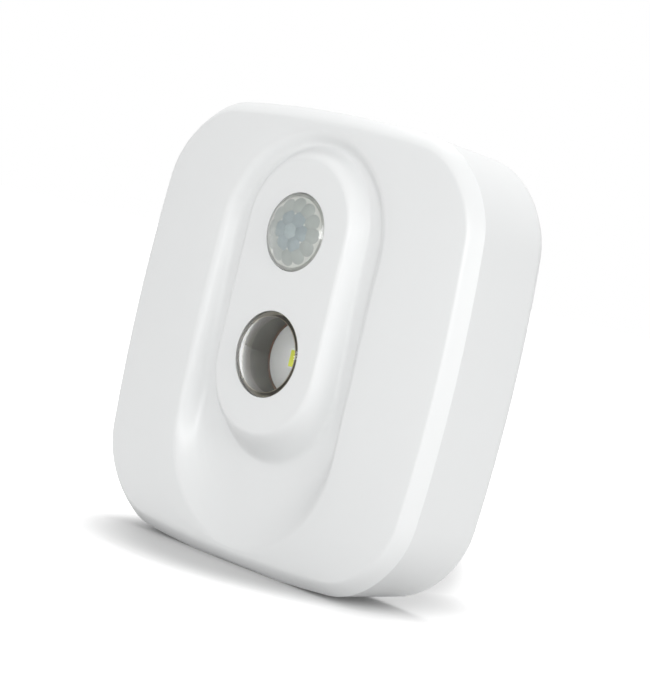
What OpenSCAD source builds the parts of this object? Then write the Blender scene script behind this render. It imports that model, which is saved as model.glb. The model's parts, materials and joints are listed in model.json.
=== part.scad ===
// Battery night light with a motion sensor, as a set of separate pieces.
// X runs to the right, Y to the back and Z up; the front faces -Y and the light stands on Z = 0.
// Shapes are worked out in the face frame first: Y = 0 is the plane of the rim and Z = 0 the body's middle.

/* [Body] */
// Width of the body across its bowed sides
body_w = 79.3; // [76:0.1:90]
// Height of the moulded outline, before its underside is flattened
body_h = 80; // [78:0.5:90]
// Radius of the body's corners
corner_r = 14.7; // [12:0.1:18]
// How far each side bows out between its corners
side_bow = 2.7; // [0.5:0.1:3.5]
// Width of the flat that the body stands on
foot_w = 24; // [16:1:30]
// Thickness of the moulded walls
wall_t = 1.6; // [1.3:0.1:1.8]
// How far the rear housing narrows towards its back
draft = 0.8; // [0:0.1:1.2]
// Radius of the edge round the back
back_r = 2.5; // [1.5:0.1:3.5]

/* [Face] */
// Height of the gentle dome of the face
face_crown = 1.3; // [0.5:0.1:2]
// Width of the bevel round the rim
rim_w = 2.4; // [1.8:0.1:3]
// Depth of the rim, back to the seam between the two halves
rim_d = 2.4; // [1.8:0.1:3]
// How softly the bevel turns into the face: 1 is a plain bevel
rim_soft = 1.5; // [1:0.1:2.5]
// Width of the oval recess
recess_w = 39; // [37:0.1:41]
// Distance from the top of the body to the recess
recess_top = 3.9; // [3.6:0.1:4.6]
// Distance from the bottom of the body to the recess
recess_bottom = 3.7; // [3.6:0.1:5]
// Depth of the groove round the island, behind the rim plane
groove_d = 1.5; // [0.8:0.1:1.9]
// Depth of the scoop under the island, behind the rim plane
scoop_d = 3.2; // [2.4:0.1:3.7]
// How evenly the scoop rises to the face: 0 is an S curve and 1 a straight ramp
scoop_even = 0.7; // [0:0.1:1]
// Share of the recess beside the island that stays flat at the groove's bottom
groove_flat = 0.5; // [0:0.05:0.6]
// How crisply the recess breaks into the face: 0 is a soft roll and 1 a clear edge
edge_crisp = 0.35; // [0:0.05:1]
// Width of the small roll where the recess meets the face
edge_roll = 1; // [0.5:0.1:1.5]

/* [Island] */
// Width of the island's top
island_w = 24.6; // [23:0.1:26]
// How far the island stands out in front of the rim plane
island_out = 1.8; // [1.4:0.1:2.2]
// How much the island's top falls away at its edge
island_crown = 0.3; // [0.1:0.1:0.5]
// Distance from the sensor lens to the island's upper end
island_up = 13.3; // [13:0.1:14]
// Distance from the light lens to the island's lower end
island_down = 14.2; // [13.5:0.1:15]
// Width of the sloping flank beside the island
flank_w = 2.1; // [1.6:0.1:3]
// Length of the sloping flank under the island
flank_low = 4.6; // [3:0.1:5.2]

/* [Lenses] */
// Distance of the light lens below the body's middle
led_drop = 3; // [2:0.1:4]
// Distance between the two lenses
lens_pitch = 21.4; // [20.8:0.1:22]
// Diameter of the clear dome
led_lens_d = 14.8; // [14:0.1:15.2]
// Height of the clear dome
led_lens_h = 2.6; // [1.8:0.1:3]
// Thickness of the clear dome's wall
led_lens_t = 1; // [0.8:0.1:1.4]
// Diameter of the sensor dome
pir_lens_d = 13.5; // [12.8:0.1:14.2]
// Height of the sensor dome
pir_lens_h = 2.4; // [1.6:0.1:3]
// Width of the solid rim of the sensor dome
pir_rim_w = 0.9; // [0.7:0.1:1.2]
// How far the faceted inside of the sensor dome lies in front of the island's top
facet_rise = 0.5; // [0.3:0.1:0.8]
// Depth of each small lens sunk into the inside of the sensor dome
lenslet_depth = 0.35; // [0.2:0.05:0.4]
// How far each lens reaches out under the cover
flange_w = 1.1; // [0.8:0.1:1.2]
// Thickness of each lens's flange
flange_t = 0.8; // [0.6:0.1:1]
// Radial gap between a lens and its hole
lens_gap = 0.1; // [0.05:0.05:0.2]

/* [Lens holder] */
// Thickness of the holder's plate
holder_t = 1.2; // [1:0.1:1.4]
// Inner diameter of the tube round each lens
tube_d = 14.2; // [13.6:0.1:14.4]
// Wall of the tubes
tube_t = 1.1; // [0.9:0.1:1.2]
// Width of the holder's plate
holder_w = 19.2; // [18.8:0.1:19.6]
// Distance of each holder screw from the middle line
holder_screw_x = 7.4; // [7:0.1:7.6]

/* [Circuit board] */
// Distance from the rim plane back to the front of the circuit board
board_y = 5.7; // [5.5:0.1:6.5]
// Gap between the board and the posts of the housing screws
board_side_gap = 0.8; // [0.4:0.1:1.5]
// Distance from the top of the body to the board
board_top = 8; // [7:0.5:10]
// Thickness of the board
board_t = 0.8; // [0.6:0.1:1.2]
// Gap between the board and the battery box
board_gap = 0.1; // [0.1:0.05:0.3]

/* [Cells] */
// Diameter of a cell
cell_d = 10.5; // [9.8:0.1:10.6]
// Length of a cell, with its button
cell_l = 44.5; // [43.3:0.1:44.6]
// Gap between neighbouring cells, and beside them
cell_gap = 0.1; // [0.1:0.05:0.3]
// Thickness of a contact strip
strip_t = 0.3; // [0.2:0.05:0.4]
// Height of a strip's raised button
button_h = 0.9; // [0.6:0.1:1.2]
// Length of a contact spring with its cell in place
spring_l = 3.3; // [3:0.1:4]
// Thickness of a contact spring's wire
spring_wire = 0.5; // [0.4:0.05:0.6]

/* [Battery box and door] */
// Thickness of the battery box's floor
floor_t = 0.8; // [0.6:0.1:1.2]
// Thickness of the battery box's walls
box_t = 1.2; // [1:0.1:1.4]
// Thickness of the battery door and of the panel round it
door_t = 1.4; // [1.2:0.1:1.8]
// Width of the ledge that the door closes on
ledge_w = 1.9; // [1.5:0.1:2.2]
// Thickness of the ledge
ledge_t = 1; // [0.8:0.1:1.2]
// Gap round the door
door_gap = 0.2; // [0.15:0.05:0.3]
// Radius of the door's corners
door_r = 3; // [2:0.5:4]
// Widest swing of the door
door_swing = 75; // [30:5:80]
// Width of each hook that the door swings on
hook_w = 5; // [4:0.5:6]
// Distance of each hook from the middle line
hook_x = 11; // [9:0.5:12]
// Width of the door's springy tongue
tongue_w = 9; // [7:0.5:11]
// Length of the door's springy tongue
tongue_l = 7; // [5:0.5:9]

/* [Wall screws] */
// Distance of each keyhole from the body's side
keyhole_inset = 10.85; // [10.5:0.05:11.5]
// Height of each keyhole's wide end above the body's middle
keyhole_z = 3; // [0:0.5:5]
// Diameter of a keyhole's wide end
keyhole_d = 8; // [7:0.2:8.4]
// Width of a keyhole's slot
keyhole_slot = 4.2; // [3.6:0.1:4.6]
// Rise of a keyhole's slot
keyhole_rise = 7; // [6:0.5:8]
// Depth of the room for a wall screw's head
keyhole_room = 3.4; // [3:0.1:4]

/* [Mode switch] */
// Travel of the knob to each side of its middle place
switch_travel = 2; // [1.5:0.1:2.2]
// Length of the knob
knob_l = 5; // [4:0.1:5.4]
// Width of the knob
knob_w = 3; // [2.6:0.1:3.4]
// Length of the switch's case
switch_l = 10.6; // [9:0.1:12]
// Width of the switch's case
switch_w = 4.4; // [4:0.1:4.6]
// Depth of the switch's case
switch_d = 4; // [3.6:0.1:4.6]

/* [Screws] */
// Distance of the housing screws from the body's sides
screw_inset = 12.2; // [12:0.1:12.8]
// Diameter of a housing screw's thread
screw_d = 2; // [1.8:0.1:2.3]
// Diameter of a housing screw's head
screw_head_d = 4.2; // [3.8:0.1:4.6]
// Height of a screw's head
screw_head_h = 1.4; // [1:0.1:1.6]
// Length of a housing screw under its head
screw_l = 7; // [6:0.5:9]
// Depth of a housing screw's seat under the back
screw_seat = 7.3; // [6:0.1:8]
// Diameter of a small screw's thread
small_screw_d = 1.6; // [1.4:0.1:1.7]
// Radial gap round a screw's thread
screw_gap = 0.05; // [0.03:0.01:0.1]

/* [Hidden] */
$fn = 64;

// Depths behind the rim plane, from the board back to the wall
floor_y = board_y + board_t + board_gap;
cell_y = floor_y + floor_t + cell_gap + cell_d / 2;
panel_y = cell_y + cell_d / 2 + cell_gap;
back_y = panel_y + door_t;
island_y = -island_out;
under_island_y = island_y + wall_t;
flange_y = under_island_y + flange_t;

// Heights from the body's middle
led_z = -led_drop;
pir_z = led_z + lens_pitch;

// The standing frame: centred over the base, with the foot on the ground
half_w = body_w / 2;
half_h = body_h / 2;
foot_z = -half_h + side_bow * pow(foot_w / body_w, 2);
dome_front_y = island_y - max(led_lens_h, pir_lens_h);
middle_y = (dome_front_y + back_y) / 2;

// Steps round the outline: each corner, and each half of a side
corner_steps = 12;
side_steps = 4;
ring_n = 4 * corner_steps + 8 * side_steps;
flank_steps = 5;
recess_steps = 7;
bevel_steps = 5;
fillet_steps = 4;

// Battery row
cell_pitch = cell_d + cell_gap;
row_half_w = cell_pitch + cell_d / 2 + 2 * cell_gap;
row_half_l = (cell_l + button_h + spring_l + 2 * strip_t + cell_gap) / 2;
box_half_w = row_half_w + box_t;
box_half_l = row_half_l + box_t;
door_half_w = box_half_w + ledge_w;
door_half_l = box_half_l + ledge_w - box_t / 2;
ledge_out = 1.2;

// The mode switch lies midway between the battery box and the bottom wall
switch_z = (foot_z + wall_t - door_half_l - ledge_out) / 2;
keyhole_x = half_w - keyhole_inset;

// Screws
post_x = half_w - screw_inset;
post_z = half_h - screw_inset;
seat_y = back_y - screw_seat;
seat_t = 1.4;
holder_screw_z = (led_z + pir_z) / 2;
boss_r = 2.6;
board_half_w = post_x - boss_r - board_side_gap;
board_post_x = (door_half_w + board_half_w) / 2;
board_post_z = [half_h / 2, -half_h * 0.4];
board_post_r = 2.2;
small_head_d = 2 * small_screw_d;
small_head_h = 0.9;
small_shank = small_screw_d / 2;

// Colours
shell_white = [0.93, 0.94, 0.94];
lens_milk = [0.78, 0.81, 0.81];
lens_clear = [0.80, 0.84, 0.86, 0.4];
dark_grey = [0.24, 0.23, 0.21];
nickel = [0.78, 0.78, 0.76];
board_brown = [0.45, 0.30, 0.16];
chip_black = [0.09, 0.09, 0.10];
warm_yellow = [0.93, 0.88, 0.22];

// Tools

module in_place() {
    translate([0, -middle_y, -foot_z]) children();
}

// A flat plan in X and Z, made thick from one depth to another
module layer(from_y, to_y) {
    translate([0, to_y, 0]) rotate([90, 0, 0]) linear_extrude(to_y - from_y) children();
}

// A profile of radius and depth, turned about an axis that runs front to back
module turned(x, z) {
    translate([x, 0, z]) rotate([-90, 0, 0]) rotate_extrude() children();
}

module rod(x, z, r, from_y, to_y) {
    layer(from_y, to_y) translate([x, z]) circle(r);
}

module block(x, z, w, h, from_y, to_y) {
    layer(from_y, to_y) translate([x, z]) square([w, h], center = true);
}

module round_rect(w, h, r) {
    for (x = [-1, 1], y = [-1, 1]) translate([x * (w / 2 - r), y * (h / 2 - r)]) circle(r);
    square([w - 2 * r, h], center = true);
    square([w, h - 2 * r], center = true);
}

module long_round(w, lo, hi) {
    for (z = [lo + w / 2, hi - w / 2]) translate([0, z]) circle(w / 2);
    translate([-w / 2, lo + w / 2]) square([w, hi - lo - w]);
}

function clamp01(t) = min(max(t, 0), 1);
function mix(a, b, t) = a + (b - a) * t;
function ease(t) = (1 - cos(180 * clamp01(t))) / 2;
function sweep_up(t) = mix(ease(t), 1 - cos(90 * clamp01(t)), edge_crisp);

// Flat cap of a ring, laid as rungs from the ring's lowest point up, in the ring's own direction
function rungs(n, from) = let (low = floor(3 * n / 4))
    [for (i = [0 : n / 2 - 1], half = [0, 1])
        let (a = (low + i) % n, b = (low + i + 1) % n, c = (low + n - i - 1) % n, d = (low + n - i) % n,
            f = half == 0 ? [a, b, c] : [a, c, d])
        if (f[0] != f[1] && f[1] != f[2] && f[2] != f[0]) f + [from, from, from]];

function flipped(faces) = [for (f = faces) [f[2], f[1], f[0]]];

// Closed skin through a list of rings with equal counts, capped at both ends
module skin(rings, from_back = false) {
    n = len(rings[0]);
    sides = [for (k = [0 : len(rings) - 2], j = [0 : n - 1], half = [0, 1])
        let (a = k * n + j, b = k * n + (j + 1) % n, c = b + n, d = a + n)
        half == 0 ? [a, b, c] : [a, c, d]];
    faces = concat(flipped(rungs(n, 0)), rungs(n, (len(rings) - 1) * n), sides);
    polyhedron(points = [for (r = rings) each r], faces = from_back ? flipped(faces) : faces, convexity = 8);
}

// Outline of the body

// Places along one half of a side: the inner half of them lie on the foot's width
function half_side(i, end) = let (inner = side_steps / 2)
    i <= inner ? foot_w / 2 * i / inner : mix(foot_w / 2, end, (i - inner) / (side_steps - inner));

function square_outline() = let (a = half_w, b = half_h, r = corner_r, s = side_steps, c = corner_steps)
    concat(
        [for (i = [0 : s - 1]) [a, half_side(i, b - r)]],
        [for (i = [0 : c - 1]) let (t = 90 * i / c) [a - r + r * cos(t), b - r + r * sin(t)]],
        [for (i = [0 : 2 * s - 1]) [i < s ? half_side(s - i, a - r) : -half_side(i - s, a - r), b]],
        [for (i = [0 : c - 1]) let (t = 90 + 90 * i / c) [-a + r + r * cos(t), b - r + r * sin(t)]],
        [for (i = [0 : 2 * s - 1]) [-a, i < s ? half_side(s - i, b - r) : -half_side(i - s, b - r)]],
        [for (i = [0 : c - 1]) let (t = 180 + 90 * i / c) [-a + r + r * cos(t), -b + r + r * sin(t)]],
        [for (i = [0 : 2 * s - 1]) [i < s ? -half_side(s - i, a - r) : half_side(i - s, a - r), -b]],
        [for (i = [0 : c - 1]) let (t = 270 + 90 * i / c) [a - r + r * cos(t), -b + r + r * sin(t)]],
        [for (i = [0 : s - 1]) [a, -half_side(s - i, b - r)]]
    );

// Each side bows: a point moves in by the square of its way along the side
function bowed(p) = [
    p.x - side_bow * pow(p.y / half_h, 2) * p.x / half_w,
    p.y - side_bow * pow(p.x / half_w, 2) * p.y / half_h
];

outline = [for (p = square_outline()) bowed(p)];

// Outward directions, from each point's neighbours
outward = [for (i = [0 : ring_n - 1])
    let (t = outline[(i + 1) % ring_n] - outline[(i + ring_n - 1) % ring_n])
    [t.y, -t.x] / norm(t)];

// The foot keeps its place while the other walls draft in
drafts = [for (p = outline)
    p.y > 0 ? 1 : ease((abs(p.x) - foot_w / 2) / (half_w - corner_r - foot_w / 2))];

function outline_ring(inset, y, drafted = 0, above_foot = 0) = [for (i = [0 : ring_n - 1])
    let (d = inset + drafted * drafts[i], p = outline[i] - outward[i] * d)
    [p.x, y, max(p.y, foot_z + above_foot)]];

// Plan of the outline at an even inset
module outline_plan(inset) {
    polygon([for (p = outline_ring(inset, 0, 0, inset)) [p.x, p.z]]);
}

// Long ovals of the recess and the island, with as many points as the outline

straight_steps = side_steps + 2;
arc_steps = (ring_n - 4 * straight_steps) / 2;

function oval_point(i, a, lo, hi) =
    let (s = straight_steps, q = arc_steps, top = hi - a, low = lo + a, mid = (top + low) / 2)
    i < s ? [a, mix(mid, top, i / s)] :
    i < s + q ? let (t = 180 * (i - s) / q) [a * cos(t), top + a * sin(t)] :
    i < 3 * s + q ? [-a, mix(top, low, (i - s - q) / (2 * s))] :
    i < 3 * s + 2 * q ? let (t = 180 + 180 * (i - 3 * s - q) / q) [a * cos(t), low + a * sin(t)] :
    [a, mix(low, mid, (i - 3 * s - 2 * q) / s)];

// How far a point of an oval lies towards its upper (1) or lower (-1) end
function end_share(i) =
    let (s = straight_steps, q = arc_steps)
    i < s || i >= 3 * s + 2 * q ? 0 :
    i < s + q ? sin(180 * (i - s) / q) :
    i < 3 * s + q ? 0 : -sin(180 * (i - 3 * s - q) / q);

function oval(a, lo, hi) = [for (i = [0 : ring_n - 1]) oval_point(i, a, lo, hi)];

island_hi = pir_z + island_up;
island_lo = led_z - island_down;
recess_hi = half_h - recess_top;
recess_lo = -half_h + recess_bottom;
foot_hi = (island_hi + recess_hi) / 2;
foot_lo = island_lo - flank_low;

island_edge = oval(island_w / 2, island_lo, island_hi);
flank_foot = oval(island_w / 2 + flank_w, foot_lo, foot_hi);
recess_edge = oval(recess_w / 2, recess_lo, recess_hi);

// Depth of the domed face
function face_y(p) = -face_crown
    * (1 - pow(p[0] / (half_w - rim_w), 2)) * (1 - pow(p[1] / (half_h - rim_w), 2));

// The groove deepens on its way down to the scoop
function groove_y(p) = mix(groove_d, scoop_d, ease((pir_z - p[1]) / (pir_z - foot_lo)));

// Flank of the island, from its edge down to the groove's bottom
function flank_ring(t) = [for (i = [0 : ring_n - 1])
    let (p = mix(island_edge[i], flank_foot[i], t))
    [p[0], mix(island_y + island_crown, groove_y(flank_foot[i]), mix(t, ease(t), 0.6)), p[1]]];

// The face starts one small roll outside the recess, whose edge lies a little lower
face_edge = outline_ring(rim_w, 0);
roll_w = [for (i = [0 : ring_n - 1])
    min(edge_roll, 0.35 * norm([face_edge[i].x, face_edge[i].z] - recess_edge[i]))];
roll_edge = [for (i = [0 : ring_n - 1]) let (way = [face_edge[i].x, face_edge[i].z] - recess_edge[i])
    recess_edge[i] + way * roll_w[i] / norm(way)];
function recess_rim_y(i) = face_y(roll_edge[i]) + 0.3 * roll_w[i];

// Share of the rise at a share of the way out: a flat groove and a steep wall beside the island
function rise_at(i, t) = let (
        flat = groove_flat * (1 - pow(abs(end_share(i)), 3)),
        way = clamp01((t - flat) / (1 - flat)))
    mix(sweep_up(way), way, scoop_even * pow(max(0, -end_share(i)), 2));

// From the groove's bottom out to the face; under the island the whole run is one long slope
function recess_ring(t) = [for (i = [0 : ring_n - 1])
    let (p = mix(flank_foot[i], recess_edge[i], t), rise = rise_at(i, t))
    [p[0], mix(groove_y(flank_foot[i]), recess_rim_y(i), rise), p[1]]];

function face_ring(t) = [for (i = [0 : ring_n - 1])
    let (p = mix(roll_edge[i], [face_edge[i].x, face_edge[i].z], t))
    [p[0], face_y(p), p[1]]];

// Bevel of the rim, from the face (0) to the seam (1)
function bevel_ring(t) = let (edge = outline_ring(rim_w * (1 - t), 0))
    [for (i = [0 : ring_n - 1])
        [edge[i].x, mix(face_y([edge[i].x, edge[i].z]), rim_d, pow(t, rim_soft)), edge[i].z]];

function flat_ring(points, y) = [for (p = points) [p[0], y, p[1]]];

// Inside of the cover: the same forms, one wall further back
inner_edge = oval(island_w / 2 - 1.1, island_lo + 1.1, island_hi - 1.1);
inner_foot = oval(island_w / 2 + flank_w - 1.1, foot_lo + 0.9, foot_hi - 0.9);
inner_recess = oval(recess_w / 2 + 1.1, recess_lo - 0.9, recess_hi + 0.9);

function inside_recess_ring(t) = [for (i = [0 : ring_n - 1])
    let (p = mix(inner_foot[i], inner_recess[i], t), rise = rise_at(i, t))
    [p[0], mix(groove_y(flank_foot[i]), face_y(recess_edge[i]), rise) + wall_t, p[1]]];

module cover_skin() {
    shallow = 0.4;
    lip = outline_ring(wall_t, rim_d, 0, wall_t);
    under_rim = outline_ring(wall_t + 0.6, 0, 0, wall_t + 0.6);
    skin(concat(
        [for (inset = [2.4, 2 * shallow + 0.2, 2 * shallow])
            flat_ring(oval(island_w / 2 - inset, island_lo + inset, island_hi - inset), island_y)],
        [flat_ring(oval(island_w / 2 - shallow, island_lo + shallow, island_hi - shallow),
            island_y + island_crown * 0.3)],
        [for (k = [0 : flank_steps]) flank_ring(k / flank_steps)],
        [for (k = [1 : recess_steps]) recess_ring(k / recess_steps)],
        [for (k = [0 : 3]) face_ring(k / 3)],
        [for (k = [1 : bevel_steps]) bevel_ring(k / bevel_steps)],
        [lip, [for (p = under_rim) [p.x, face_y([p.x, p.z]) + wall_t, p.z]]],
        [for (k = [3 : -1 : 0]) inside_recess_ring(k / 3)],
        [flat_ring(inner_edge, under_island_y)]
    ));
}

// Ring of small posts at the four corners
module at_corners() {
    for (x = [-1, 1], z = [-1, 1]) translate([x * post_x, 0, z * post_z]) children();
}

// Front cover: face, recess, island and rim in one moulding

lip_gap = 0.1;
lip_t = 0.9;
lip_l = 2;
boss_end_y = seat_y - seat_t - lip_gap;
small_boss_r = 1.9;
small_pilot_y = under_island_y - 1;

module front_cover() {
    color(shell_white) in_place() difference() {
        union() {
            cover_skin();
            layer(rim_d - 0.6, rim_d + lip_l) difference() {
                outline_plan(wall_t + lip_gap);
                outline_plan(wall_t + lip_gap + lip_t);
            }
            at_corners() rod(0, 0, boss_r, wall_t / 2, boss_end_y);
            for (x = [-1, 1]) {
                rod(x * holder_screw_x, holder_screw_z, small_boss_r, under_island_y - 0.6, flange_y);
            }
        }
        rod(0, led_z, led_lens_d / 2 + lens_gap, island_y - 2, flange_y + 2);
        rod(0, pir_z, pir_lens_d / 2 + lens_gap, island_y - 2, flange_y + 2);
        at_corners() rod(0, 0, screw_d / 2 + screw_gap, boss_end_y - screw_l, boss_end_y + 1);
        for (x = [-1, 1]) {
            rod(x * holder_screw_x, holder_screw_z, small_shank + screw_gap, small_pilot_y, flange_y + 1);
        }
    }
}

// Rear housing: walls, panel, battery box, posts and wall-screw pockets

module rear_skin() {
    // The inner wall follows the draft; the panel's inside is one door thickness forward of the back
    inner_front = outline_ring(wall_t, rim_d, 0, wall_t);
    inner_lip = outline_ring(wall_t, rim_d + lip_l + 0.3, 0, wall_t);
    inner_back = outline_ring(wall_t + 0.4, panel_y - 1, draft, wall_t);
    inner_panel = outline_ring(wall_t + 1.4, panel_y, draft, wall_t + 1);
    skin(concat(
        [outline_ring(back_r, back_y, draft)],
        [for (k = [1 : fillet_steps]) let (t = 90 * k / fillet_steps)
            outline_ring(back_r * (1 - sin(t)), back_y - back_r * (1 - cos(t)), draft)],
        [outline_ring(0, rim_d)],
        [inner_front, inner_lip, inner_back, inner_panel]
    ), from_back = true);
}

module door_plan(gap) {
    round_rect(2 * (door_half_w - gap), 2 * (door_half_l - gap), door_r - gap);
}

hook_reach = 1.8;
hook_t = 0.7;
hook_pocket = 3.4;

// Room that a hook sweeps as the door swings
module hook_rooms() {
    for (x = [-1, 1]) {
        translate([x * hook_x - hook_w / 2 - 0.3, panel_y - 1.7, door_half_l - hook_pocket])
            cube([hook_w + 0.6, 1.7 + 0.01, hook_pocket + hook_reach + 0.4]);
    }
}

module keyhole_plan(extra) {
    circle(keyhole_d / 2 + extra);
    translate([-keyhole_slot / 2 - extra, 0]) square([keyhole_slot + 2 * extra, keyhole_rise]);
    translate([0, keyhole_rise]) circle(keyhole_slot / 2 + extra);
}

// Both keyholes, as flat plans
module at_keyholes() {
    for (x = [-1, 1]) translate([x * keyhole_x, keyhole_z]) children();
}

head_room = 2.2;
pocket_wall = 1;
tongue_room = 1.6;
switch_slot_half = knob_l / 2 + switch_travel + 0.3;
dish_d = 0.4;

module board_posts(r, from_y, to_y) {
    for (x = [-1, 1], z = board_post_z) rod(x * board_post_x, z, r, from_y, to_y);
}

module rear_housing() {
    color(shell_white) in_place() {
        housing_walls();
        cell_ribs();
    }
}

module housing_walls() {
    difference() {
        union() {
            rear_skin();
            layer(floor_y, panel_y + 0.3) square([2 * box_half_w, 2 * box_half_l], center = true);
            layer(panel_y - ledge_t, panel_y + 0.3) door_plan(-ledge_out);
            at_corners() rod(0, 0, screw_head_d / 2 + 1.6, seat_y - seat_t, back_y - 0.3);
            board_posts(board_post_r, board_y + board_t, panel_y + 0.3);
            layer(panel_y - keyhole_room - pocket_wall, panel_y + 0.3)
                at_keyholes() keyhole_plan(head_room + pocket_wall);
        }
        cell_room();
        layer(panel_y, back_y + 1) door_plan(0);
        hook_rooms();
        block(0, -door_half_l + tongue_l / 2, tongue_w + 1, tongue_l, panel_y - tongue_room, panel_y + 0.1);
        at_corners() rod(0, 0, screw_head_d / 2 + 0.3, seat_y, back_y + 1);
        at_corners() rod(0, 0, screw_d / 2 + screw_gap, seat_y - seat_t - 1, seat_y + 1);
        board_posts(small_shank + screw_gap, board_y, board_y + board_t + 6);
        layer(panel_y - keyhole_room, panel_y) at_keyholes() keyhole_plan(head_room);
        layer(panel_y - 1, back_y + 1) at_keyholes() keyhole_plan(0);
        block(0, switch_z, 2 * switch_slot_half, knob_w + 0.5, panel_y - 0.5, back_y + 1);
        layer(back_y - dish_d, back_y + 1) translate([0, switch_z])
            round_rect(2 * switch_slot_half + 4, knob_w + 3, 2);
        terminal_slots(0.15);
    }
}

// Room for the row of cells
module cell_room() {
    layer(floor_y + floor_t, panel_y + 0.5) square([2 * row_half_w, 2 * row_half_l], center = true);
}

// Low ribs on the box's floor, in the valleys between the cells
rib_w = 1.6;
rib_h = 2;
rib_l = 4;

module cell_ribs() {
    for (x = [-0.5, 0.5], z = [-1, 1]) {
        block(x * cell_pitch, z * cell_l / 4, rib_w, rib_l,
            floor_y + floor_t - 0.2, floor_y + floor_t + rib_h);
    }
}

// Battery door: panel, two hooks at the top, a springy tongue at the bottom and a finger notch

tongue_cut = 0.8;
nose_t = 0.8;

module battery_door() {
    outer_y = back_y - 0.1;
    inner_y = panel_y + 0.05;
    edge_z = -door_half_l + door_gap;
    color(shell_white) in_place() difference() {
        union() {
            layer(inner_y, outer_y) door_plan(door_gap);
            for (x = [-1, 1]) door_hook(x * hook_x, inner_y);
            // The nose under the tongue's end just clears the edge of the opening
            block(0, edge_z + 0.5, tongue_w - 2, 1, inner_y - nose_t, inner_y + 0.2);
        }
        for (x = [-1, 1]) {
            block(x * (tongue_w + tongue_cut) / 2, edge_z + tongue_l / 2 - 0.5, tongue_cut, tongue_l + 1,
                inner_y - 1, outer_y + 1);
        }
        // Finger notch, a round scoop in the tongue
        translate([0, outer_y + 4.4, edge_z + tongue_l * 0.55]) rotate([0, 90, 0])
            cylinder(r = 5, h = tongue_w - 3, center = true);
        // Grip lines above the tongue
        for (k = [0 : 3]) {
            block(0, edge_z + tongue_l + 3 + 1.8 * k, 12 - 2 * k, 0.8, outer_y - 0.3, outer_y + 1);
        }
    }
}

// A hook reaches under the panel's edge, from a root on the door's inner face
module door_hook(x, inner_y) {
    edge_z = door_half_l - door_gap;
    block(x, edge_z - 0.6, hook_w, 1.2, inner_y - hook_t - 0.1, inner_y + 0.2);
    block(x, edge_z + (hook_reach - 1.2) / 2, hook_w, hook_reach + 1.2,
        inner_y - hook_t - 0.1, inner_y - 0.15);
}

// Lenses: a dome that stands in its hole, on a flange behind the cover

module dome_lens(z, d, h, pocket_r, pocket_top, pocket_ball) {
    r = d / 2;
    ball = (r * r + h * h) / (2 * h);
    top_y = island_y - h;
    turned(0, z) difference() {
        union() {
            intersection() {
                translate([0, top_y + ball]) circle(ball, $fn = 180);
                translate([0, top_y - 1]) square([r, island_y - top_y + 1]);
            }
            translate([0, island_y - 0.01]) square([r, wall_t + flange_t + 0.01]);
            translate([0, under_island_y]) square([r + flange_w, flange_t]);
        }
        intersection() {
            translate([0, pocket_top + pocket_ball]) circle(pocket_ball, $fn = 180);
            translate([0, pocket_top]) square([pocket_r, flange_y + 1 - pocket_top]);
        }
        translate([-2 * ball, top_y - 2]) square([2 * ball, 2 * ball + 4]);
    }
}

// The clear dome is hollow, with an even wall
module led_lens() {
    r = led_lens_d / 2;
    ball = (r * r + led_lens_h * led_lens_h) / (2 * led_lens_h);
    color(lens_clear) in_place() dome_lens(led_z, led_lens_d, led_lens_h,
        r - led_lens_t, island_y - led_lens_h + led_lens_t, ball - led_lens_t);
}

// The sensor dome is thick, and rings of small lenses are sunk into its inside

facet_sag = 1;
facet_r = pir_lens_d / 2 - pir_rim_w;
facet_ball = (facet_r * facet_r + facet_sag * facet_sag) / (2 * facet_sag);
lenslet_r = facet_r / 4.5;
lenslet_ball = (lenslet_r * lenslet_r + lenslet_depth * lenslet_depth) / (2 * lenslet_depth);
// Each ring of small lenses: how many, and how far out
lenslet_rings = [[1, 0], [6, 1.77 * lenslet_r], [12, 3.3 * lenslet_r]];

module pir_lens() {
    facet_y = island_y - facet_rise;
    color(lens_milk) in_place() difference() {
        dome_lens(pir_z, pir_lens_d, pir_lens_h, facet_r, facet_y, facet_ball);
        translate([0, facet_y + facet_ball, pir_z]) rotate([90, 0, 0]) {
            for (ring = lenslet_rings, k = [0 : ring[0] - 1]) {
                rotate([0, 0, 360 * k / ring[0]]) rotate([0, asin(ring[1] / facet_ball), 0])
                    translate([0, 0, facet_ball + lenslet_depth - lenslet_ball]) sphere(lenslet_ball);
            }
        }
    }
}

// Lens holder: a plate that clamps both flanges, with a tube round each lens

module lens_holder() {
    color(dark_grey) in_place() difference() {
        union() {
            layer(flange_y, flange_y + holder_t)
                long_round(holder_w, led_z - holder_w / 2, pir_z + holder_w / 2);
            for (z = [led_z, pir_z]) rod(0, z, tube_d / 2 + tube_t, flange_y, board_y - board_gap);
        }
        for (z = [led_z, pir_z]) rod(0, z, tube_d / 2, flange_y - 1, board_y + 1);
        for (x = [-1, 1]) {
            rod(x * holder_screw_x, holder_screw_z, small_shank + screw_gap,
                flange_y - 1, flange_y + holder_t + 1);
        }
    }
}

// Light source: a small round board, the diode's white body and its yellow patch

led_board_r = tube_d / 2 - 0.4;
package_w = 2.8;
package_l = 3.5;
package_h = 0.7;
patch_w = 2.2;
patch_l = 2.9;
patch_d = 0.35;

module led_board() {
    color([0.92, 0.92, 0.90]) in_place() rod(0, led_z, led_board_r, board_y, floor_y);
}

module led_package() {
    color([0.95, 0.95, 0.93]) in_place() difference() {
        block(0, led_z, package_w, package_l, board_y - package_h, board_y);
        block(0, led_z, patch_w, patch_l, board_y - package_h - 1, board_y - package_h + patch_d);
    }
}

module led_phosphor() {
    color(warm_yellow) in_place()
        block(0, led_z, patch_w - 0.02, patch_l - 0.02,
            board_y - package_h - 0.02, board_y - package_h + patch_d);
}

// Motion sensor: a metal can on a spacer, with a filter window in its top

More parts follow.
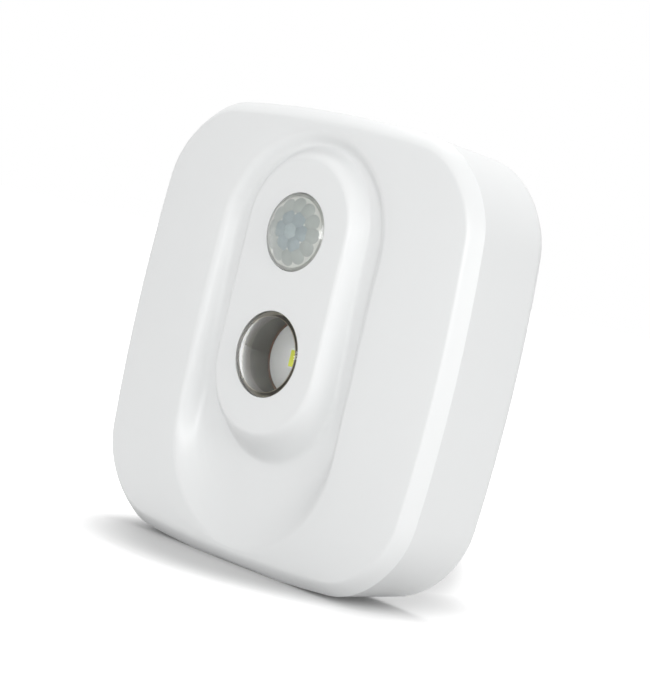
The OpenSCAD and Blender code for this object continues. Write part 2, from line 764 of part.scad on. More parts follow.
can_r = 4.1;
can_flange_r = 4.6;
can_h = 4.2;
spacer_h = 1.9;
can_top_y = board_y - spacer_h - can_h;
window_w = 3;
window_l = 4;
window_t = 0.3;
lead_r = 0.25;
lead_ring = 2.54;

module sensor_leads(r, from_y, to_y) {
    for (a = [0, 120, 240]) rod(lead_ring * cos(a + 90), pir_z + lead_ring * sin(a + 90), r, from_y, to_y);
}

module pir_sensor() {
    color(nickel) in_place() difference() {
        union() {
            turned(0, pir_z) polygon([[0, can_top_y], [can_r - 0.5, can_top_y], [can_r, can_top_y + 0.5],
                [can_r, can_top_y + can_h - 0.4], [can_flange_r, can_top_y + can_h - 0.4],
                [can_flange_r, can_top_y + can_h], [0, can_top_y + can_h]]);
            sensor_leads(lead_r, can_top_y + can_h - 0.5, board_y + board_t);
        }
        block(0, pir_z, window_w, window_l, can_top_y - 1, can_top_y + window_t);
    }
}

module pir_window() {
    color([0.20, 0.22, 0.25]) in_place()
        block(0, pir_z, window_w - 0.1, window_l - 0.1, can_top_y + 0.05, can_top_y + window_t);
}

module sensor_spacer() {
    color([0.9, 0.9, 0.88]) in_place() layer(board_y - spacer_h, board_y) translate([0, pir_z]) difference() {
        circle(can_r);
        circle(lead_ring + lead_r + 0.3);
    }
}

module light_sensor() {
    color([0.30, 0.20, 0.16]) in_place() block(5.8, pir_z, 1.6, 2, board_y - 1.2, board_y);
}

// Circuit board and what it carries

board_hole_gap = 0.2;

// Solder tabs of the end strips, which pass through the box's floor and the board
terminals = [[-cell_pitch, -row_half_l + strip_t / 2], [cell_pitch, row_half_l - strip_t / 2]];
tab_w = 2;

module terminal_slots(gap) {
    for (p = terminals) {
        block(p[0], p[1], tab_w + 2 * gap, strip_t + 2 * gap, board_y - 1, floor_y + floor_t + 0.2);
    }
}

// Pins of the mode switch, three in a row
pin_pitch = 2.5;
pin_w = 0.5;

module switch_pins(w, from_y, to_y) {
    for (k = [-1 : 1]) block(k * pin_pitch, switch_z, w, w, from_y, to_y);
}

module circuit_board() {
    top_z = half_h - board_top;
    low_z = switch_z - switch_w / 2 - 0.2;
    color(board_brown) in_place() difference() {
        layer(board_y, board_y + board_t) translate([0, (top_z + low_z) / 2])
            round_rect(2 * board_half_w, top_z - low_z, 2);
        rod(0, led_z, led_board_r + board_hole_gap, board_y - 1, board_y + board_t + 1);
        sensor_leads(lead_r + 0.1, board_y - 1, board_y + board_t + 1);
        board_posts(small_shank + 0.2, board_y - 1, board_y + board_t + 1);
        terminal_slots(0.2);
        switch_pins(pin_w + 0.3, board_y - 1, board_y + board_t + 1);
    }
}

// Small parts on the front of the board, beside the lenses
chip_w = 3.9;
chip_l = 9.9;
chip_h = 1.6;
chip_legs = 8;
leg_pitch = chip_l / (chip_legs - 0.2);
leg_w = leg_pitch / 3;
leg_out = 1;
chip_x = -(tube_d / 2 + tube_t + board_half_w) / 2;
chip_z = pir_z - chip_l;

module control_chip() {
    color(chip_black) in_place() {
        block(chip_x, chip_z, chip_w, chip_l, board_y - chip_h, board_y - 0.15);
        for (side = [-1, 1], k = [0 : chip_legs - 1]) {
            z = chip_z + (k - (chip_legs - 1) / 2) * leg_pitch;
            block(chip_x + side * (chip_w + leg_out) / 2, z, leg_out, leg_w, board_y - 0.15, board_y);
            block(chip_x + side * chip_w / 2, z, 0.4, leg_w, board_y - chip_h / 2, board_y);
        }
    }
}

// Two low metal cans, each with a groove near its foot; they would fit under the recess as well
cap_r = 2;
cap_room = 0.4;
cap_space = 1;
cap_x = board_half_w - cap_r - 1.2;
cap_z = [for (k = [1, 0])
    board_post_z[0] - small_head_d / 2 - cap_r - cap_space - k * (2 * cap_r + cap_space)];
cap_h = board_y - groove_y([0, cap_z[0] - cap_r]) - wall_t - cap_room;

module capacitors() {
    color([0.75, 0.76, 0.78]) in_place() for (z = cap_z) {
        top = board_y - cap_h;
        turned(cap_x, z) polygon([[0, top], [cap_r - 0.2, top], [cap_r, top + 0.2], [cap_r, board_y - 0.9],
            [cap_r - 0.2, board_y - 0.7], [cap_r, board_y - 0.5], [cap_r, board_y], [0, board_y]]);
    }
}

resistor_l = 1.6;
resistor_w = 0.8;
resistor_h = 0.5;

module chip_resistors() {
    pitch = 2.8 * resistor_w;
    color([0.16, 0.15, 0.15]) in_place() for (k = [0 : 3]) {
        block(-chip_x, pir_z + k * pitch, resistor_l, resistor_w, board_y - resistor_h, board_y);
        block(chip_x, -k * pitch - chip_l / 2, resistor_l, resistor_w, board_y - resistor_h, board_y);
    }
}

// Cells: the middle one stands the other way up

nub_r = 1.9;
nub_h = 0.8;

module cell(x, up) {
    bottom = row_half_l - strip_t - spring_l;
    r = cell_d / 2;
    body_l = cell_l - nub_h;
    translate([x, cell_y, 0]) rotate([up ? 0 : 180, 0, 0]) translate([0, 0, -bottom]) rotate_extrude()
        polygon([[0, 0.15], [r - 1.2, 0.15], [r - 1, 0], [r - 0.4, 0], [r, 0.4], [r, body_l - 0.4],
            [r - 0.4, body_l], [nub_r + 0.3, body_l - 0.1], [nub_r, body_l + 0.1], [nub_r, cell_l - 0.2],
            [nub_r - 0.2, cell_l], [0, cell_l]]);
}

module cell_left() {
    color([0.20, 0.22, 0.26]) in_place() cell(-cell_pitch, true);
}

module cell_middle() {
    color([0.20, 0.22, 0.26]) in_place() cell(0, false);
}

module cell_right() {
    color([0.20, 0.22, 0.26]) in_place() cell(cell_pitch, true);
}

// Contacts: [x, end] of each spring; the end is -1 at the bottom and 1 at the top
spring_seats = [[-cell_pitch, -1], [0, 1], [cell_pitch, -1]];
spring_turns = 3;
spring_base_r = 3.6;
spring_tip_r = 2.4;
spring_steps = 12;
spring_sides = 6;

// Coil of the spring: rises by one wire less than its length, and narrows towards the cell
function coil_point(u) = let (a = 360 * spring_turns * u, r = mix(spring_base_r, spring_tip_r, u))
    [r * cos(a), r * sin(a), spring_wire / 2 + (spring_l - spring_wire) * u];

function coil_ring(u) = let (a = 360 * spring_turns * u, c = coil_point(u))
    [for (k = [0 : spring_sides - 1]) let (b = -360 * k / spring_sides)
        c + spring_wire / 2 * [cos(b) * cos(a), cos(b) * sin(a), sin(b)]];

module contact_spring() {
    count = spring_turns * spring_steps;
    skin([for (k = [0 : count]) coil_ring(k / count)]);
}

module contact_springs() {
    color(nickel) in_place() for (s = spring_seats) {
        translate([s[0], cell_y, s[1] * (row_half_l - strip_t)])
            rotate([s[1] > 0 ? 180 : 0, 0, 0]) contact_spring();
    }
}

// Strips: [x from, x to, end] of each; the two long ones link neighbouring cells
strip_w = 8.6;

module strip(from_x, to_x, end) {
    translate([from_x - strip_w / 2, cell_y - strip_w / 2, end > 0 ? row_half_l - strip_t : -row_half_l])
        cube([to_x - from_x + strip_w, strip_w, strip_t]);
}

module button(x, end) {
    translate([x, cell_y, end * (row_half_l - strip_t)]) rotate([end > 0 ? 180 : 0, 0, 0])
        cylinder(r1 = 2.6, r2 = 1.8, h = button_h);
}

module solder_tab(p) {
    block(p[0], p[1], tab_w, strip_t, board_y - 0.3, cell_y - strip_w / 2 + 0.2);
}

module spring_plate() {
    color(nickel) in_place() {
        strip(-cell_pitch, -cell_pitch, -1);
        solder_tab(terminals[0]);
    }
}

module button_plate() {
    color(nickel) in_place() {
        strip(cell_pitch, cell_pitch, 1);
        button(cell_pitch, 1);
        solder_tab(terminals[1]);
    }
}

module link_plates() {
    color(nickel) in_place() {
        strip(-cell_pitch, 0, 1);
        button(-cell_pitch, 1);
        strip(0, cell_pitch, -1);
        button(0, -1);
    }
}

// Mode switch: a metal case on the board, its actuator, and the knob that a finger moves

case_wall = 0.4;
case_y = board_y + board_t;
case_top_y = case_y + switch_d;
stem_w = 1.6;
stem_block_l = 3.4;
stem_up = 3.4;
knob_flange_t = 0.6;
knob_flange_y = panel_y - 0.8;
knob_top_y = back_y - 0.2;
knob_foot_y = case_top_y + 0.4;
socket_wall = 0.8;

module switch_case() {
    color(nickel) in_place() difference() {
        union() {
            block(0, switch_z, switch_l, switch_w, case_y, case_top_y);
            switch_pins(pin_w, board_y - 0.6, case_y + 0.2);
        }
        block(0, switch_z, switch_l - 2 * case_wall, switch_w - 2 * case_wall,
            case_y + 0.8, case_top_y - case_wall);
        block(0, switch_z, stem_w + 2 * switch_travel + 0.3, stem_w + 0.2, case_top_y - 1, case_top_y + 1);
    }
}

module switch_stem() {
    color(chip_black) in_place() {
        block(0, switch_z, stem_block_l, switch_w - 2 * case_wall - 0.3,
            case_y + 1, case_top_y - case_wall - 0.1);
        block(0, switch_z, stem_w, stem_w, case_top_y - case_wall - 0.5, case_top_y + stem_up);
    }
}

module mode_knob() {
    flange_l = 2 * (switch_slot_half + switch_travel + 0.3);
    socket = stem_w + 0.04;
    foot = socket + 2 * socket_wall;
    color(shell_white) in_place() difference() {
        union() {
            layer(knob_flange_y, knob_top_y) translate([0, switch_z]) round_rect(knob_l, knob_w, 0.4);
            block(0, switch_z, flange_l, knob_w + 1.6, knob_flange_y, knob_flange_y + knob_flange_t);
            block(0, switch_z, foot, foot, knob_foot_y, knob_flange_y + 0.2);
        }
        block(0, switch_z, socket, socket, knob_foot_y - 1, case_top_y + stem_up + 0.02);
        for (k = [-1 : 1]) block(k * 1.2, switch_z, 0.5, knob_w + 1, knob_top_y - 0.25, knob_top_y + 1);
    }
}

// Screws, with plain shanks at the thread's outer diameter

board_screw_l = 5;
slot_w = 0.5;
slot_d = 0.5;
slot_cut = 2;
screw_taper = 0.3;

// A screw along Y; way is 1 when its head lies behind its seat, and -1 when it lies in front
module screw(d, head_d, head_h, l, seat, way) {
    turned(0, 0) polygon([[0, seat - way * l], [d / 2 - screw_taper, seat - way * l],
        [d / 2, seat - way * (l - 2 * screw_taper)], [d / 2, seat], [head_d / 2, seat],
        [head_d / 2, seat + way * head_h / 2], [head_d / 3, seat + way * head_h], [0, seat + way * head_h]]);
}

module housing_screws() {
    color(nickel) in_place() at_corners() difference() {
        screw(screw_d, screw_head_d, screw_head_h, screw_l + seat_t, seat_y, 1);
        cross_slot(seat_y + screw_head_h - 1.4 * slot_d, screw_head_d * 0.6);
    }
}

module holder_screws() {
    seat = flange_y + holder_t;
    color(nickel) in_place() for (x = [-1, 1]) {
        translate([x * holder_screw_x, 0, holder_screw_z]) difference() {
            screw(small_screw_d, small_head_d, small_head_h, seat - small_pilot_y - 0.2, seat, 1);
            cross_slot(seat + small_head_h - slot_d, small_head_d * 0.6);
        }
    }
}

module board_screws() {
    color(nickel) in_place() for (x = [-1, 1], z = board_post_z) {
        translate([x * board_post_x, 0, z]) difference() {
            screw(small_screw_d, small_head_d, small_head_h, board_screw_l, board_y, -1);
            cross_slot(board_y - small_head_h + slot_d - slot_cut, small_head_d * 0.6);
        }
    }
}

// Cross-shaped drive recess, cut from one depth on
module cross_slot(from_y, size) {
    for (a = [0, 90]) rotate([0, a, 0]) block(0, 0, size, slot_w, from_y, from_y + slot_cut);
}

front_cover();
rear_housing();
battery_door();
led_lens();
pir_lens();
lens_holder();
led_board();
led_package();
led_phosphor();
pir_sensor();
pir_window();
sensor_spacer();
light_sensor();
circuit_board();
control_chip();
capacitors();
chip_resistors();
cell_left();
cell_middle();
cell_right();
contact_springs();
spring_plate();
link_plates();
button_plate();
switch_case();
switch_stem();
mode_knob();
housing_screws();
holder_screws();
board_screws();
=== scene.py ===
"""Looks of the battery night light: finishes on its parts, studio light and the photo's camera."""

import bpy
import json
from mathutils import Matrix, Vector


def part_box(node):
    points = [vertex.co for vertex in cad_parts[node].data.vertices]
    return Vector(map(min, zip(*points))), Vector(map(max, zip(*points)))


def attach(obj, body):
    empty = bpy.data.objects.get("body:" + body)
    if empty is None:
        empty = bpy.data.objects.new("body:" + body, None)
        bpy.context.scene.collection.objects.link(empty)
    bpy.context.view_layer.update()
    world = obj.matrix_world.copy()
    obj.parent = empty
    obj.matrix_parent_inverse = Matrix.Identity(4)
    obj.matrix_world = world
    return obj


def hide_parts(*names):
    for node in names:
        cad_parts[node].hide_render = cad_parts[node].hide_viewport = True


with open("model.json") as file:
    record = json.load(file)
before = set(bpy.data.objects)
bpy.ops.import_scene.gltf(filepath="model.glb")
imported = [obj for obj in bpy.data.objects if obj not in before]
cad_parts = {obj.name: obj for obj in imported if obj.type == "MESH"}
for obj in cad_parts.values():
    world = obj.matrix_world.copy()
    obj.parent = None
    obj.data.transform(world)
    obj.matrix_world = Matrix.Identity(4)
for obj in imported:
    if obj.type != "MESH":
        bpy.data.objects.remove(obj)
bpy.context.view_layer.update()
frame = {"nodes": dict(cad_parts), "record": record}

import json
import math

import bpy
from mathutils import Matrix, Vector

MM = 0.001

# Body and material slot of each node, as the record has them
record = frame["record"]
BODY_OF = {node: body for body, nodes in record["behaviour"]["bodies"].items() for node in nodes}
SLOT_OF = {part["node"]: part["material_slot"] for part in record["subparts"]}


# Finishes

GRAIN_DEPTH = 0.02 * MM
GRAIN_DETAIL = 3.0
METAL_GRAIN = 1800.0
METAL_GRAIN_STRENGTH = 0.2
CLEAR_GRAIN = 900.0
# How far the roughness wanders
PLASTIC_WANDER = 0.04
METAL_WANDER = 0.08
CLEAR_WANDER = 0.02


def principled(name, color, roughness, metallic=0.0):
    """A plain material: its shader, with colour, roughness and metal set on its own sockets."""
    material = bpy.data.materials.new(name)
    material.use_nodes = True
    shader = material.node_tree.nodes["Principled BSDF"]
    shader.inputs["Base Color"].default_value = (*color, 1.0)
    shader.inputs["Roughness"].default_value = roughness
    shader.inputs["Metallic"].default_value = metallic
    return material, shader


def add_grain(material, shader, scale, strength):
    """A fine moulded or rolled grain on the surface."""
    tree = material.node_tree
    place = tree.nodes.new("ShaderNodeTexCoord")
    noise = tree.nodes.new("ShaderNodeTexNoise")
    noise.inputs["Scale"].default_value = scale
    noise.inputs["Detail"].default_value = GRAIN_DETAIL
    bump = tree.nodes.new("ShaderNodeBump")
    bump.inputs["Strength"].default_value = strength
    bump.inputs["Distance"].default_value = GRAIN_DEPTH
    tree.links.new(place.outputs["Object"], noise.inputs["Vector"])
    tree.links.new(noise.outputs["Fac"], bump.inputs["Height"])
    tree.links.new(bump.outputs["Normal"], shader.inputs["Normal"])
    return noise


def vary_roughness(material, shader, noise, low, high):
    """Roughness that wanders a little with the grain, as on a handled surface."""
    tree = material.node_tree
    span = tree.nodes.new("ShaderNodeMapRange")
    span.inputs["To Min"].default_value = low
    span.inputs["To Max"].default_value = high
    tree.links.new(noise.outputs["Fac"], span.inputs["Value"])
    tree.links.new(span.outputs["Result"], shader.inputs["Roughness"])


def plastic(name, color, roughness, grain=2600.0, strength=0.15):
    """Moulded plastic, board, paint or film."""
    material, shader = principled(name, color, roughness)
    noise = add_grain(material, shader, grain, strength)
    vary_roughness(material, shader, noise, roughness - PLASTIC_WANDER, roughness + PLASTIC_WANDER)
    return material


def metal(name, color, roughness):
    """Rolled or plated metal."""
    material, shader = principled(name, color, roughness, metallic=1.0)
    noise = add_grain(material, shader, METAL_GRAIN, METAL_GRAIN_STRENGTH)
    vary_roughness(material, shader, noise, roughness - METAL_WANDER, roughness + METAL_WANDER)
    return material


def clear_plastic(name, color, roughness, transmission=1.0, ior=1.49, strength=0.05):
    """Plastic that light goes through."""
    material, shader = principled(name, color, roughness)
    shader.inputs["Transmission Weight"].default_value = transmission
    shader.inputs["IOR"].default_value = ior
    noise = add_grain(material, shader, CLEAR_GRAIN, strength)
    vary_roughness(material, shader, noise, roughness, roughness + CLEAR_WANDER)
    return material


white_shell = plastic("white_shell", (0.80, 0.81, 0.81), 0.36)
clear_dome = clear_plastic("clear_dome", (0.97, 0.98, 0.98), 0.02, ior=1.3, strength=0.004)
# Painted reflection of the holder, on the clear dome's sides, flange and back
lens_edge_painted_reflection = plastic("lens_edge_painted_reflection", (0.40, 0.37, 0.29), 0.40, grain=1500.0, strength=0.05)
milky_lens = clear_plastic("milky_lens", (0.90, 0.93, 0.91), 0.10, transmission=0.85)
# Painted shade of the small lenses in the sensor dome: blue-grey where the sensor shows through,
# darkest in the first ring
facet_centre_painted_shade = plastic("facet_centre_painted_shade", (0.36, 0.43, 0.46), 0.30, grain=1500.0)
facet_middle_painted_shade = plastic("facet_middle_painted_shade", (0.25, 0.31, 0.34), 0.30, grain=1500.0)
facet_ring_painted_shade = plastic("facet_ring_painted_shade", (0.36, 0.385, 0.37), 0.30, grain=1500.0)
facet_rim = plastic("facet_rim", (0.68, 0.68, 0.64), 0.35, grain=1500.0)
dark_holder = plastic("dark_holder", (0.058, 0.054, 0.033), 0.50, grain=2500.0, strength=0.03)
lamp_board = plastic("lamp_board", (0.80, 0.80, 0.78), 0.40)
white_package = plastic("white_package", (0.85, 0.85, 0.83), 0.35)
phosphor = plastic("phosphor", (0.72, 0.76, 0.04), 0.40)
sensor_can = metal("sensor_can", (0.62, 0.64, 0.66), 0.30)
sensor_window = plastic("sensor_window", (0.03, 0.035, 0.045), 0.15)
spacer_white = plastic("spacer_white", (0.75, 0.75, 0.72), 0.5)
detector_brown = plastic("detector_brown", (0.08, 0.04, 0.03), 0.2)
board_brown = plastic("board_brown", (0.17, 0.075, 0.028), 0.35)
chip_black = plastic("chip_black", (0.012, 0.012, 0.014), 0.5)
can_aluminium = metal("can_aluminium", (0.75, 0.76, 0.78), 0.32)
cell_jacket = plastic("cell_jacket", (0.03, 0.036, 0.05), 0.25)
contact_nickel = metal("contact_nickel", (0.70, 0.68, 0.63), 0.25)
switch_steel = metal("switch_steel", (0.66, 0.66, 0.65), 0.35)
screw_steel = metal("screw_steel", (0.60, 0.60, 0.60), 0.28)

FINISH_OF = {
    "shell_white": white_shell,
    "lens_clear": clear_dome,
    "lens_milk": milky_lens,
    "holder_dark": dark_holder,
    "lamp_board": lamp_board,
    "package_white": white_package,
    "phosphor": phosphor,
    "sensor_can": sensor_can,
    "sensor_window": sensor_window,
    "spacer_white": spacer_white,
    "detector_brown": detector_brown,
    "board_brown": board_brown,
    "chip_black": chip_black,
    "can_aluminium": can_aluminium,
    "cell_jacket": cell_jacket,
    "contact_nickel": contact_nickel,
    "switch_steel": switch_steel,
    "screw_steel": screw_steel,
}


def give_finish(piece, material):
    """The piece has this one material."""
    piece.data.materials.clear()
    piece.data.materials.append(material)


# Pieces

MERGE_GAP = 0.002 * MM


def only(piece):
    """The piece is the one selected and active object."""
    bpy.ops.object.select_all(action="DESELECT")
    piece.select_set(True)
    bpy.context.view_layer.objects.active = piece


def smoothed(node, angle, flats):
    """A merged and smooth-shaded copy of a CAD node takes its place.

    Edges sharper than the angle stay sharp, and flats is how much the large faces rule.
    """
    source = frame["nodes"][node]
    piece = bpy.data.objects.new(node + "_skin", source.data.copy())
    bpy.context.scene.collection.objects.link(piece)
    only(piece)
    bpy.ops.object.mode_set(mode="EDIT")
    bpy.ops.mesh.select_all(action="SELECT")
    bpy.ops.mesh.remove_doubles(threshold=MERGE_GAP)
    bpy.ops.object.mode_set(mode="OBJECT")
    bpy.ops.mesh.customdata_custom_splitnormals_clear()
    bpy.ops.object.shade_smooth_by_angle(angle=math.radians(angle))
    bpy.ops.object.modifier_add(type="WEIGHTED_NORMAL")
    piece.modifiers[-1].keep_sharp = True
    piece.modifiers[-1].weight = flats
    bpy.ops.object.modifier_apply(modifier=piece.modifiers[-1].name)
    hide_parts(node)
    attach(piece, BODY_OF[node])
    return piece


for node, part in frame["nodes"].items():
    give_finish(part, FINISH_OF[SLOT_OF[node]])

# Crease angle, and how much the large faces rule (50 is even)
ROUND_NODES = {
    "front_cover": (60, 50),
    "rear_housing": (35, 90),
    "battery_door": (30, 90),
    "led_lens": (25, 50),
    "pir_lens": (25, 50),
    "lens_holder": (30, 50),
    "led_board": (30, 50),
    "pir_sensor": (30, 50),
    "sensor_spacer": (30, 50),
    "mode_knob": (30, 50),
    "housing_screws": (30, 50),
}
skins = {node: smoothed(node, *look) for node, look in ROUND_NODES.items()}


# Sensor dome: behind its milky front the small lenses have painted shade, blue-grey in the middle
# where the sensor shows through, darkest in the first ring and paler further out. The hollow is a
# share of the flange's radius, and the rings are in small-lens radii.

HOLLOW_SHARE = 0.745
HOLLOW_DEPTH_SHARE = 0.7
HOLLOW_IN_LENSLETS = 4.5
LENSLET_EDGE = 1.02
MILKY_FRONT = 1.22
FACES_FRONT = -0.2
FACES_BACK = 0.3
# How many small lenses each ring has, how far out it is, and its painted shade
LENSLET_RINGS = ((6, 1.77, facet_middle_painted_shade), (12, 3.3, facet_ring_painted_shade))


def lenslet_finish(across, up, lenslet_r):
    """The finish of the small lens that a point lies in, or the rim's between them."""
    finish = facet_centre_painted_shade
    gap = math.hypot(across, up)
    for count, far, shade in LENSLET_RINGS:
        step = 2 * math.pi / count
        turn = round(math.atan2(up, across) / step) * step
        ring_r = far * lenslet_r
        to_ring = math.hypot(across - ring_r * math.cos(turn), up - ring_r * math.sin(turn))
        if to_ring < gap:
            gap = to_ring
            finish = shade
    return finish if gap <= lenslet_r * LENSLET_EDGE else facet_rim


def finish_facets(piece):
    """Milky in front, each small lens in its ring's painted shade, and the rim's finish elsewhere.
    """
    low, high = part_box("pir_lens")
    middle_z = (low.z + high.z) / 2
    hollow_r = (high.x - low.x) / 2 * HOLLOW_SHARE
    hollow_end = low.y + HOLLOW_DEPTH_SHARE * (high.y - low.y)
    lenslet_r = hollow_r / HOLLOW_IN_LENSLETS
    finishes = [milky_lens, facet_centre_painted_shade, facet_middle_painted_shade, facet_ring_painted_shade, facet_rim]
    mesh = piece.data
    for finish in finishes[1:]:
        mesh.materials.append(finish)
    for face in mesh.polygons:
        across, up = face.center.x, face.center.z - middle_z
        out = math.hypot(across, up)
        if face.normal.y < FACES_FRONT:
            finish = milky_lens if out < MILKY_FRONT * hollow_r else facet_rim
        elif out > hollow_r or face.normal.y < FACES_BACK or face.center.y > hollow_end:
            finish = facet_rim
        else:
            finish = lenslet_finish(across, up, lenslet_r)
        face.material_index = finishes.index(finish)


finish_facets(skins["pir_lens"])


# Clear dome: its sides, flange and back are opaque, in a painted grey-brown that stands for the
# holder reflected in them, and the step at the end of its inside has a painted highlight band

DOME_FLANGE = 1.1 * MM
DOME_WALL = 1.0 * MM
DOME_STEP_SHARE = 0.618
# Width and blur of the painted highlight band at the step
STEP_HIGHLIGHT_BAND = 0.20 * MM
STEP_HIGHLIGHT_BLUR = 0.2
SIDE_FROM = 0.985
SIDE_DEPTH_SHARE = 0.5
INSIDE_MARGIN = 0.03
UPRIGHT = 0.3
FLAT_BACK = 0.9


def painted_step_highlight(step_y):
    """A painted highlight as far as one band's width behind the step, and dark further back."""
    material, shader = principled("lens_step_painted_highlight", (0.10, 0.095, 0.07), 0.35)
    tree = material.node_tree
    place = tree.nodes.new("ShaderNodeTexCoord")
    parts = tree.nodes.new("ShaderNodeSeparateXYZ")
    back = tree.nodes.new("ShaderNodeMapRange")
    back.inputs["From Min"].default_value = step_y + (1 - STEP_HIGHLIGHT_BLUR) * STEP_HIGHLIGHT_BAND
    back.inputs["From Max"].default_value = step_y + (1 + STEP_HIGHLIGHT_BLUR) * STEP_HIGHLIGHT_BAND
    shade = tree.nodes.new("ShaderNodeValToRGB")
    # The painted highlight's colour, then the dark colour further back
    shade.color_ramp.elements[0].color = (0.66, 0.58, 0.47, 1.0)
    shade.color_ramp.elements[1].color = (0.11, 0.10, 0.075, 1.0)
    tree.links.new(place.outputs["Object"], parts.inputs["Vector"])
    tree.links.new(parts.outputs["Y"], back.inputs["Value"])
    tree.links.new(back.outputs["Result"], shade.inputs["Fac"])
    tree.links.new(shade.outputs["Color"], shader.inputs["Base Color"])
    return material


def finish_dome(piece):
    """Painted grey-brown reflection on the sides and back, and the step's painted highlight on the
    upright inside.
    """
    low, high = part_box("led_lens")
    middle_z = (low.z + high.z) / 2
    depth = high.y - low.y
    side_r = (high.x - low.x) / 2 - DOME_FLANGE
    inner_r = side_r - DOME_WALL
    finishes = [clear_dome, lens_edge_painted_reflection, painted_step_highlight(low.y + DOME_STEP_SHARE * depth)]
    mesh = piece.data
    for finish in finishes[1:]:
        mesh.materials.append(finish)
    for face in mesh.polygons:
        out = math.hypot(face.center.x, face.center.z - middle_z)
        on_back = face.normal.y > FLAT_BACK and out > inner_r
        on_side = out > SIDE_FROM * side_r and face.center.y > low.y + SIDE_DEPTH_SHARE * depth
        inside = abs(face.normal.y) < UPRIGHT and abs(out - inner_r) < INSIDE_MARGIN * inner_r
        if on_back or on_side:
            face.material_index = 1
        elif inside:
            face.material_index = 2


finish_dome(skins["led_lens"])


# Camera: the photograph's place, measured against the body's outline, with its angles in radians

YAW = 0.7742
PITCH = 0.0503
ROLL = 0.2326
DISTANCE = 414.8 * MM
PIXELS_PER_MM = 5.7412
IMAGE_W = 650
IMAGE_H = 700
BODY_PIXEL = (317.07, 345.64)
SENSOR = 36.0
CLIP_START = 0.01

HOUSING_DEPTH = 19.5 * MM
HOUSING_HEIGHT = 80 * MM

housing_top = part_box("rear_housing")[1]
body_centre = Vector((0, housing_top.y - HOUSING_DEPTH / 2, housing_top.z - HOUSING_HEIGHT / 2))


def aim_camera():
    """A camera that sees the body's middle at its place in the photograph."""
    level_reach = math.cos(PITCH)
    back = Vector((math.sin(YAW) * level_reach, -math.cos(YAW) * level_reach, math.sin(PITCH)))
    level = Vector((0, 0, 1)).cross(back).normalized()
    rise = back.cross(level)
    right = math.cos(ROLL) * level + math.sin(ROLL) * rise
    up = back.cross(right)
    pixel = MM / PIXELS_PER_MM
    place = body_centre + back * DISTANCE
    place += right * (IMAGE_W / 2 - BODY_PIXEL[0]) * pixel
    place -= up * (IMAGE_H / 2 - BODY_PIXEL[1]) * pixel
    data = bpy.data.cameras.new("photo_camera")
    data.sensor_fit = "VERTICAL"
    data.sensor_height = SENSOR
    data.sensor_width = SENSOR
    data.lens = SENSOR * PIXELS_PER_MM * (DISTANCE / MM) / IMAGE_H
    data.clip_start = CLIP_START
    camera = bpy.data.objects.new("photo_camera", data)
    bpy.context.scene.collection.objects.link(camera)
    turn = Matrix((right, up, back)).transposed()
    camera.matrix_world = Matrix.Translation(place) @ turn.to_4x4()
    bpy.context.scene.camera = camera


aim_camera()


# Studio: a white floor that keeps the shadow, a white surround and soft lamps

def camera_sees(tree):
    """Is Camera Ray, Is Glossy Ray or Is Transmission Ray, as one number."""
    path = tree.nodes.new("ShaderNodeLightPath")
    either = tree.nodes.new("ShaderNodeMath")
    either.operation = "MAXIMUM"
    any_of = tree.nodes.new("ShaderNodeMath")
    any_of.operation = "MAXIMUM"
    tree.links.new(path.outputs["Is Camera Ray"], either.inputs[0])
    tree.links.new(path.outputs["Is Glossy Ray"], either.inputs[1])
    tree.links.new(either.outputs[0], any_of.inputs[0])
    tree.links.new(path.outputs["Is Transmission Ray"], any_of.inputs[1])
    return any_of.outputs[0]


FLOOR_SIZE = 6.0
FLOOR_GREY = 0.60
FLOOR_GLOW = 0.06
# The floor's shadow stays inside two ovals: middle, half sizes, turn, and from where it fades. The
# floor's white fades out into each oval, so the ovals are a painted soft shadow, with the lamps'
# real shadow inside
SHADOW_OVALS = (
    ((-0.002, 0.008), (0.051, 0.054), 0.0, 0.42),
    ((-0.042, 0.063), (0.036, 0.135), YAW, 0.55),
)


def oval_fade(tree, middle, half, turn, start):
    """0 within the oval, and 1 from its edge on."""
    place = tree.nodes.new("ShaderNodeTexCoord")
    oval = tree.nodes.new("ShaderNodeMapping")
    oval.vector_type = "TEXTURE"
    oval.inputs["Location"].default_value = (*middle, 0.0)
    oval.inputs["Rotation"].default_value = (0.0, 0.0, turn)
    oval.inputs["Scale"].default_value = (*half, 1.0)
    reach = tree.nodes.new("ShaderNodeVectorMath")
    reach.operation = "LENGTH"
    fade = tree.nodes.new("ShaderNodeMapRange")
    fade.interpolation_type = "SMOOTHSTEP"
    fade.inputs["From Min"].default_value = start
    tree.links.new(place.outputs["Object"], oval.inputs["Vector"])
    tree.links.new(oval.outputs["Vector"], reach.inputs[0])
    tree.links.new(reach.outputs["Value"], fade.inputs["Value"])
    return fade.outputs["Result"]


def floor_glow(tree):
    """The floor's own white, which fades out into the ovals as painted soft shadow and leaves them
    to the lamps.
    """
    fades = [oval_fade(tree, *oval) for oval in SHADOW_OVALS]
    both = tree.nodes.new("ShaderNodeMath")
    both.operation = "MINIMUM"
    level = tree.nodes.new("ShaderNodeMapRange")
    level.inputs["To Min"].default_value = FLOOR_GLOW
    glow = tree.nodes.new("ShaderNodeMath")
    glow.operation = "MULTIPLY"
    tree.links.new(fades[0], both.inputs[0])
    tree.links.new(fades[1], both.inputs[1])
    tree.links.new(both.outputs[0], level.inputs["Value"])
    tree.links.new(level.outputs["Result"], glow.inputs[0])
    tree.links.new(camera_sees(tree), glow.inputs[1])
    return glow.outputs[0]


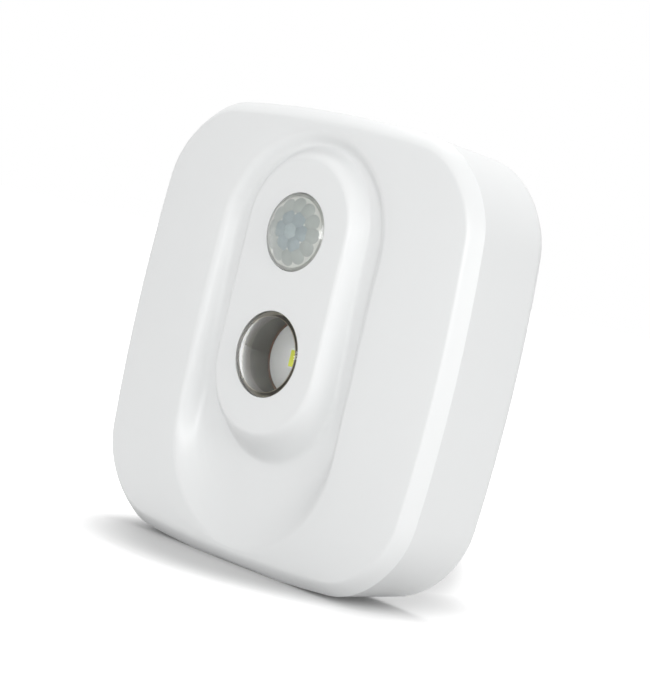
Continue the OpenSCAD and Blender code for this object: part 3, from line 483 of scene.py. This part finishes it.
def lay_floor():
    """A matt floor that the object stands on."""
    bpy.ops.object.select_all(action="DESELECT")
    bpy.ops.mesh.primitive_plane_add(size=FLOOR_SIZE, location=(0, 0, 0))
    floor = bpy.context.active_object
    floor.name = "studio_floor"
    material = bpy.data.materials.new("studio_floor")
    material.use_nodes = True
    tree = material.node_tree
    shader = tree.nodes["Principled BSDF"]
    shader.inputs["Base Color"].default_value = (FLOOR_GREY, FLOOR_GREY, FLOOR_GREY, 1.0)
    shader.inputs["Roughness"].default_value = 1.0
    shader.inputs["Specular IOR Level"].default_value = 0.0
    shader.inputs["Emission Color"].default_value = (1.0, 1.0, 1.0, 1.0)
    tree.links.new(floor_glow(tree), shader.inputs["Emission Strength"])
    floor.data.materials.append(material)


WORLD_LEVEL = 0.57


def light_world():
    """Plain white to the camera, and a level that lights the object."""
    world = bpy.data.worlds.new("studio")
    bpy.context.scene.world = world
    world.use_nodes = True
    tree = world.node_tree
    background = tree.nodes["Background"]
    background.inputs["Color"].default_value = (1.0, 1.0, 1.0, 1.0)
    level = tree.nodes.new("ShaderNodeMapRange")
    level.inputs["To Min"].default_value = WORLD_LEVEL
    level.inputs["To Max"].default_value = 1.0
    tree.links.new(camera_sees(tree), level.inputs["Value"])
    tree.links.new(level.outputs["Result"], background.inputs["Strength"])


LAMP_DISTANCE = 0.8
# Name, azimuth (0 is the front and 90 the right), elevation, width, height and watts
LAMPS = (
    ("key_lamp", 66, 12, 0.4, 0.4, 0.92),
    ("side_lamp", 80, 10, 0.3, 0.3, 0.53),
    ("strip_lamp", 30, 12, 0.1, 0.35, 1.85),
    ("corner_lamp", 95, 55, 0.5, 0.5, 0.4),
    ("back_lamp", 224, 65, 0.5, 0.5, 2.8),
    ("left_lamp", -40, 20, 0.5, 0.5, 0.2),
)


def soft_lamp(name, azimuth, elevation, width, height, watts):
    """A lamp with a soft edge that looks at the body."""
    a, e = math.radians(azimuth), math.radians(elevation)
    way = Vector((math.sin(a) * math.cos(e), -math.cos(a) * math.cos(e), math.sin(e)))
    data = bpy.data.lights.new(name, "AREA")
    data.shape = "RECTANGLE"
    data.size = width
    data.size_y = height
    data.energy = watts
    lamp = bpy.data.objects.new(name, data)
    bpy.context.scene.collection.objects.link(lamp)
    lamp.location = body_centre + way * LAMP_DISTANCE
    lamp.rotation_euler = way.to_track_quat("Z", "Y").to_euler()


lay_floor()
light_world()
for lamp in LAMPS:
    soft_lamp(*lamp)

bpy.context.scene.view_settings.view_transform = "Standard"
